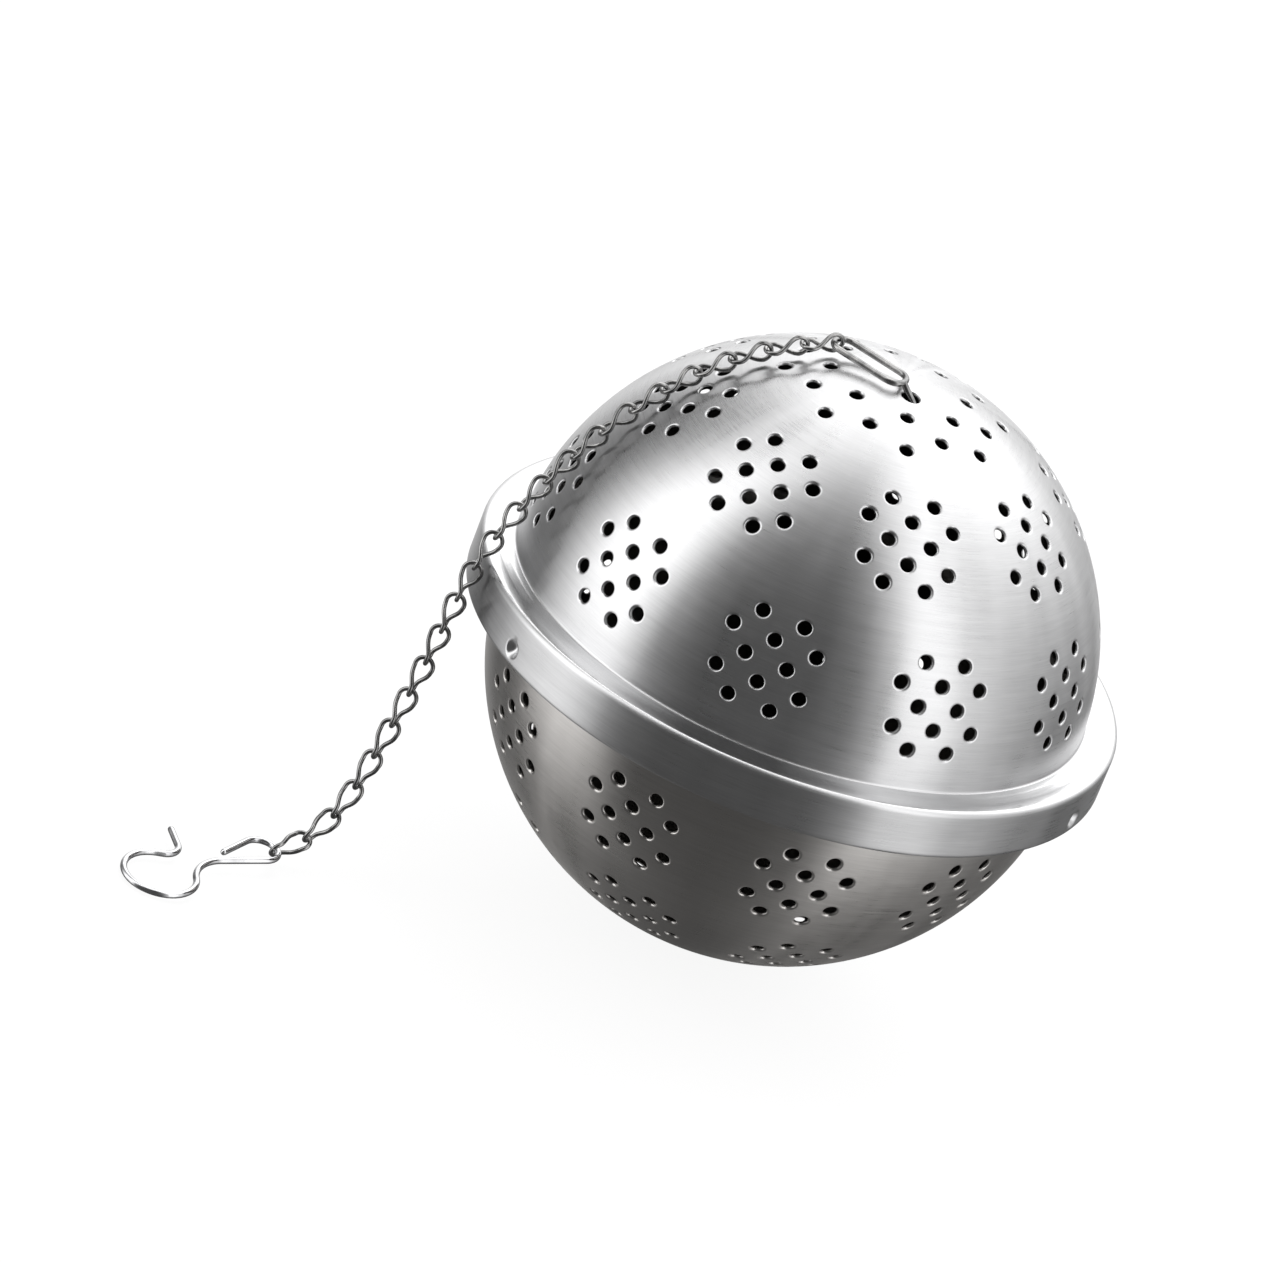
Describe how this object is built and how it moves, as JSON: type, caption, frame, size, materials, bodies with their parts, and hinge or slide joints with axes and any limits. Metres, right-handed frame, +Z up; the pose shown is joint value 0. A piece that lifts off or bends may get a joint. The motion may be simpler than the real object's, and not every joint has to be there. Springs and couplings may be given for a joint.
{
  "type": "tea infuser",
  "caption": "Perforated steel ball in two halves with a bayonet collar, on a jack chain that ends in an open wire hook.",
  "frame": {"origin": "lowest point of the lower shell, on the ball's axis, where the ball touches the table", "axes": "+Z up along the ball's axis, from the lower shell to the upper shell; +X to the right and -Y to the front"},
  "size_m": [0.1169, 0.0951, 0.0876],
  "materials": {
    "lower_sheet": "fine circumferential brushing, satin",
    "upper_sheet": "fine circumferential brushing, bright satin",
    "chain_wire": "drawn wire, polished",
    "hook_wire": "drawn wire, polished"
  },
  "bodies": {
    "lower_shell": {"lower_shell": "lower_sheet"},
    "upper_shell": {"upper_shell": "upper_sheet"},
    "anchor_eye": {"anchor_eye": "hook_wire"},
    "link_01": {"link_01": "chain_wire"},
    "link_02": {"link_02": "chain_wire"},
    "link_03": {"link_03": "chain_wire"},
    "link_04": {"link_04": "chain_wire"},
    "link_05": {"link_05": "chain_wire"},
    "link_06": {"link_06": "chain_wire"},
    "link_07": {"link_07": "chain_wire"},
    "link_08": {"link_08": "chain_wire"},
    "link_09": {"link_09": "chain_wire"},
    "link_10": {"link_10": "chain_wire"},
    "link_11": {"link_11": "chain_wire"},
    "link_12": {"link_12": "chain_wire"},
    "link_13": {"link_13": "chain_wire"},
    "link_14": {"link_14": "chain_wire"},
    "link_15": {"link_15": "chain_wire"},
    "link_16": {"link_16": "chain_wire"},
    "link_17": {"link_17": "chain_wire"},
    "link_18": {"link_18": "chain_wire"},
    "link_19": {"link_19": "chain_wire"},
    "link_20": {"link_20": "chain_wire"},
    "link_21": {"link_21": "chain_wire"},
    "link_22": {"link_22": "chain_wire"},
    "hook": {"hook": "hook_wire"}
  },
  "joints": [
    {"name": "lid_lift", "type": "slide", "parent": "lower_shell", "child": "upper_shell", "axis": [0, 0, 1], "range_m": [0, 0.06]},
    {"name": "anchor_tilt", "type": "hinge", "parent": "upper_shell", "child": "anchor_eye", "pos_m": [0.00192, -0.00432, 0.08487], "axis": [0.4457, 0.8952, 0], "range_deg": [0, 84]},
    {"name": "link_01_bend", "type": "hinge", "parent": "anchor_eye", "child": "link_01", "pos_m": [-0.0092, 0.0011, 0.0863], "axis": [0.1257, 0.2595, -0.9575], "range_deg": [0, 56.31]},
    {"name": "link_02_bend", "type": "hinge", "parent": "link_01", "child": "link_02", "pos_m": [-0.01338, -0.00118, 0.08513], "axis": [-0.5188, 0.6956, 0.497], "range_deg": [0, 9.01]},
    {"name": "link_03_bend", "type": "hinge", "parent": "link_02", "child": "link_03", "pos_m": [-0.01755, -0.00301, 0.08334], "axis": [-0.2798, 0.9166, -0.2856], "range_deg": [0, 6.68]},
    {"name": "link_04_bend", "type": "hinge", "parent": "link_03", "child": "link_04", "pos_m": [-0.02145, -0.00492, 0.08106], "axis": [-0.3275, 0.9216, -0.2084], "range_deg": [0, 5.98]},
    {"name": "link_05_bend", "type": "hinge", "parent": "link_04", "child": "link_05", "pos_m": [-0.02506, -0.00681, 0.07834], "axis": [-0.3912, 0.9128, -0.1174], "range_deg": [0, 7.69]},
    {"name": "link_06_bend", "type": "hinge", "parent": "link_05", "child": "link_06", "pos_m": [-0.02828, -0.00861, 0.07512], "axis": [-0.5939, 0.7898, 0.1532], "range_deg": [0, 6.74]},
    {"name": "link_07_bend", "type": "hinge", "parent": "link_06", "child": "link_07", "pos_m": [-0.03121, -0.01011, 0.07149], "axis": [-0.4527, 0.8916, -0.0028], "range_deg": [0, 5.16]},
    {"name": "link_08_bend", "type": "hinge", "parent": "link_07", "child": "link_08", "pos_m": [-0.03384, -0.01145, 0.06757], "axis": [-0.1958, 0.9602, -0.199], "range_deg": [0, 4.21]},
    {"name": "link_09_bend", "type": "hinge", "parent": "link_08", "child": "link_09", "pos_m": [-0.03616, -0.01278, 0.06347], "axis": [-0.5156, 0.8567, 0.0155], "range_deg": [0, 2.27]},
    {"name": "link_10_bend", "type": "hinge", "parent": "link_09", "child": "link_10", "pos_m": [-0.03835, -0.01402, 0.05926], "axis": [0.0728, 0.9459, -0.3162], "range_deg": [0, 4.12]},
    {"name": "link_11_bend", "type": "hinge", "parent": "link_10", "child": "link_11", "pos_m": [-0.04021, -0.01532, 0.05492], "axis": [0.4556, 0.7792, -0.4305], "range_deg": [0, 3.92]},
    {"name": "link_12_bend", "type": "hinge", "parent": "link_11", "child": "link_12", "pos_m": [-0.0418, -0.01682, 0.05053], "axis": [-0.443, 0.8854, -0.1408], "range_deg": [0, 5.38]},
    {"name": "link_13_bend", "type": "hinge", "parent": "link_12", "child": "link_13", "pos_m": [-0.043, -0.01814, 0.04597], "axis": [-0.7081, 0.7058, -0.0189], "range_deg": [0, 9.64]},
    {"name": "link_14_bend", "type": "hinge", "parent": "link_13", "child": "link_14", "pos_m": [-0.04364, -0.01891, 0.04118], "axis": [-0.5572, 0.8283, -0.0587], "range_deg": [0, 3.27]},
    {"name": "link_15_bend", "type": "hinge", "parent": "link_14", "child": "link_15", "pos_m": [-0.04405, -0.01953, 0.03633], "axis": [0.919, -0.3932, -0.0274], "range_deg": [0, 1.18]},
    {"name": "link_16_bend", "type": "hinge", "parent": "link_15", "child": "link_16", "pos_m": [-0.0445, -0.02024, 0.0315], "axis": [0.7032, -0.7099, 0.0392], "range_deg": [0, 1.61]},
    {"name": "link_17_bend", "type": "hinge", "parent": "link_16", "child": "link_17", "pos_m": [-0.04504, -0.02105, 0.0267], "axis": [0.7467, -0.6646, 0.0267], "range_deg": [0, 1.62]},
    {"name": "link_18_bend", "type": "hinge", "parent": "link_17", "child": "link_18", "pos_m": [-0.04568, -0.02195, 0.02193], "axis": [0.7742, -0.6327, 0.017], "range_deg": [0, 1.69]},
    {"name": "link_19_bend", "type": "hinge", "parent": "link_18", "child": "link_19", "pos_m": [-0.0464, -0.02297, 0.01719], "axis": [0.7006, -0.7121, 0.0452], "range_deg": [0, 1.68]},
    {"name": "link_20_bend", "type": "hinge", "parent": "link_19", "child": "link_20", "pos_m": [-0.04723, -0.02408, 0.01249], "axis": [0.5236, -0.8451, 0.1077], "range_deg": [0, 6.7]},
    {"name": "link_21_bend", "type": "hinge", "parent": "link_20", "child": "link_21", "pos_m": [-0.04852, -0.02546, 0.00797], "axis": [0.5238, -0.845, 0.1076], "range_deg": [0, 16.25]},
    {"name": "link_22_bend", "type": "hinge", "parent": "link_21", "child": "link_22", "pos_m": [-0.05088, -0.0274, 0.00414], "axis": [0.6319, -0.775, 0.0055], "range_deg": [0, 25.73]},
    {"name": "hook_bend", "type": "hinge", "parent": "link_22", "child": "hook", "pos_m": [-0.05429, -0.0302, 0.00201], "axis": [0.7098, -0.6358, -0.3032], "range_deg": [0, 23.28]}
  ]
}
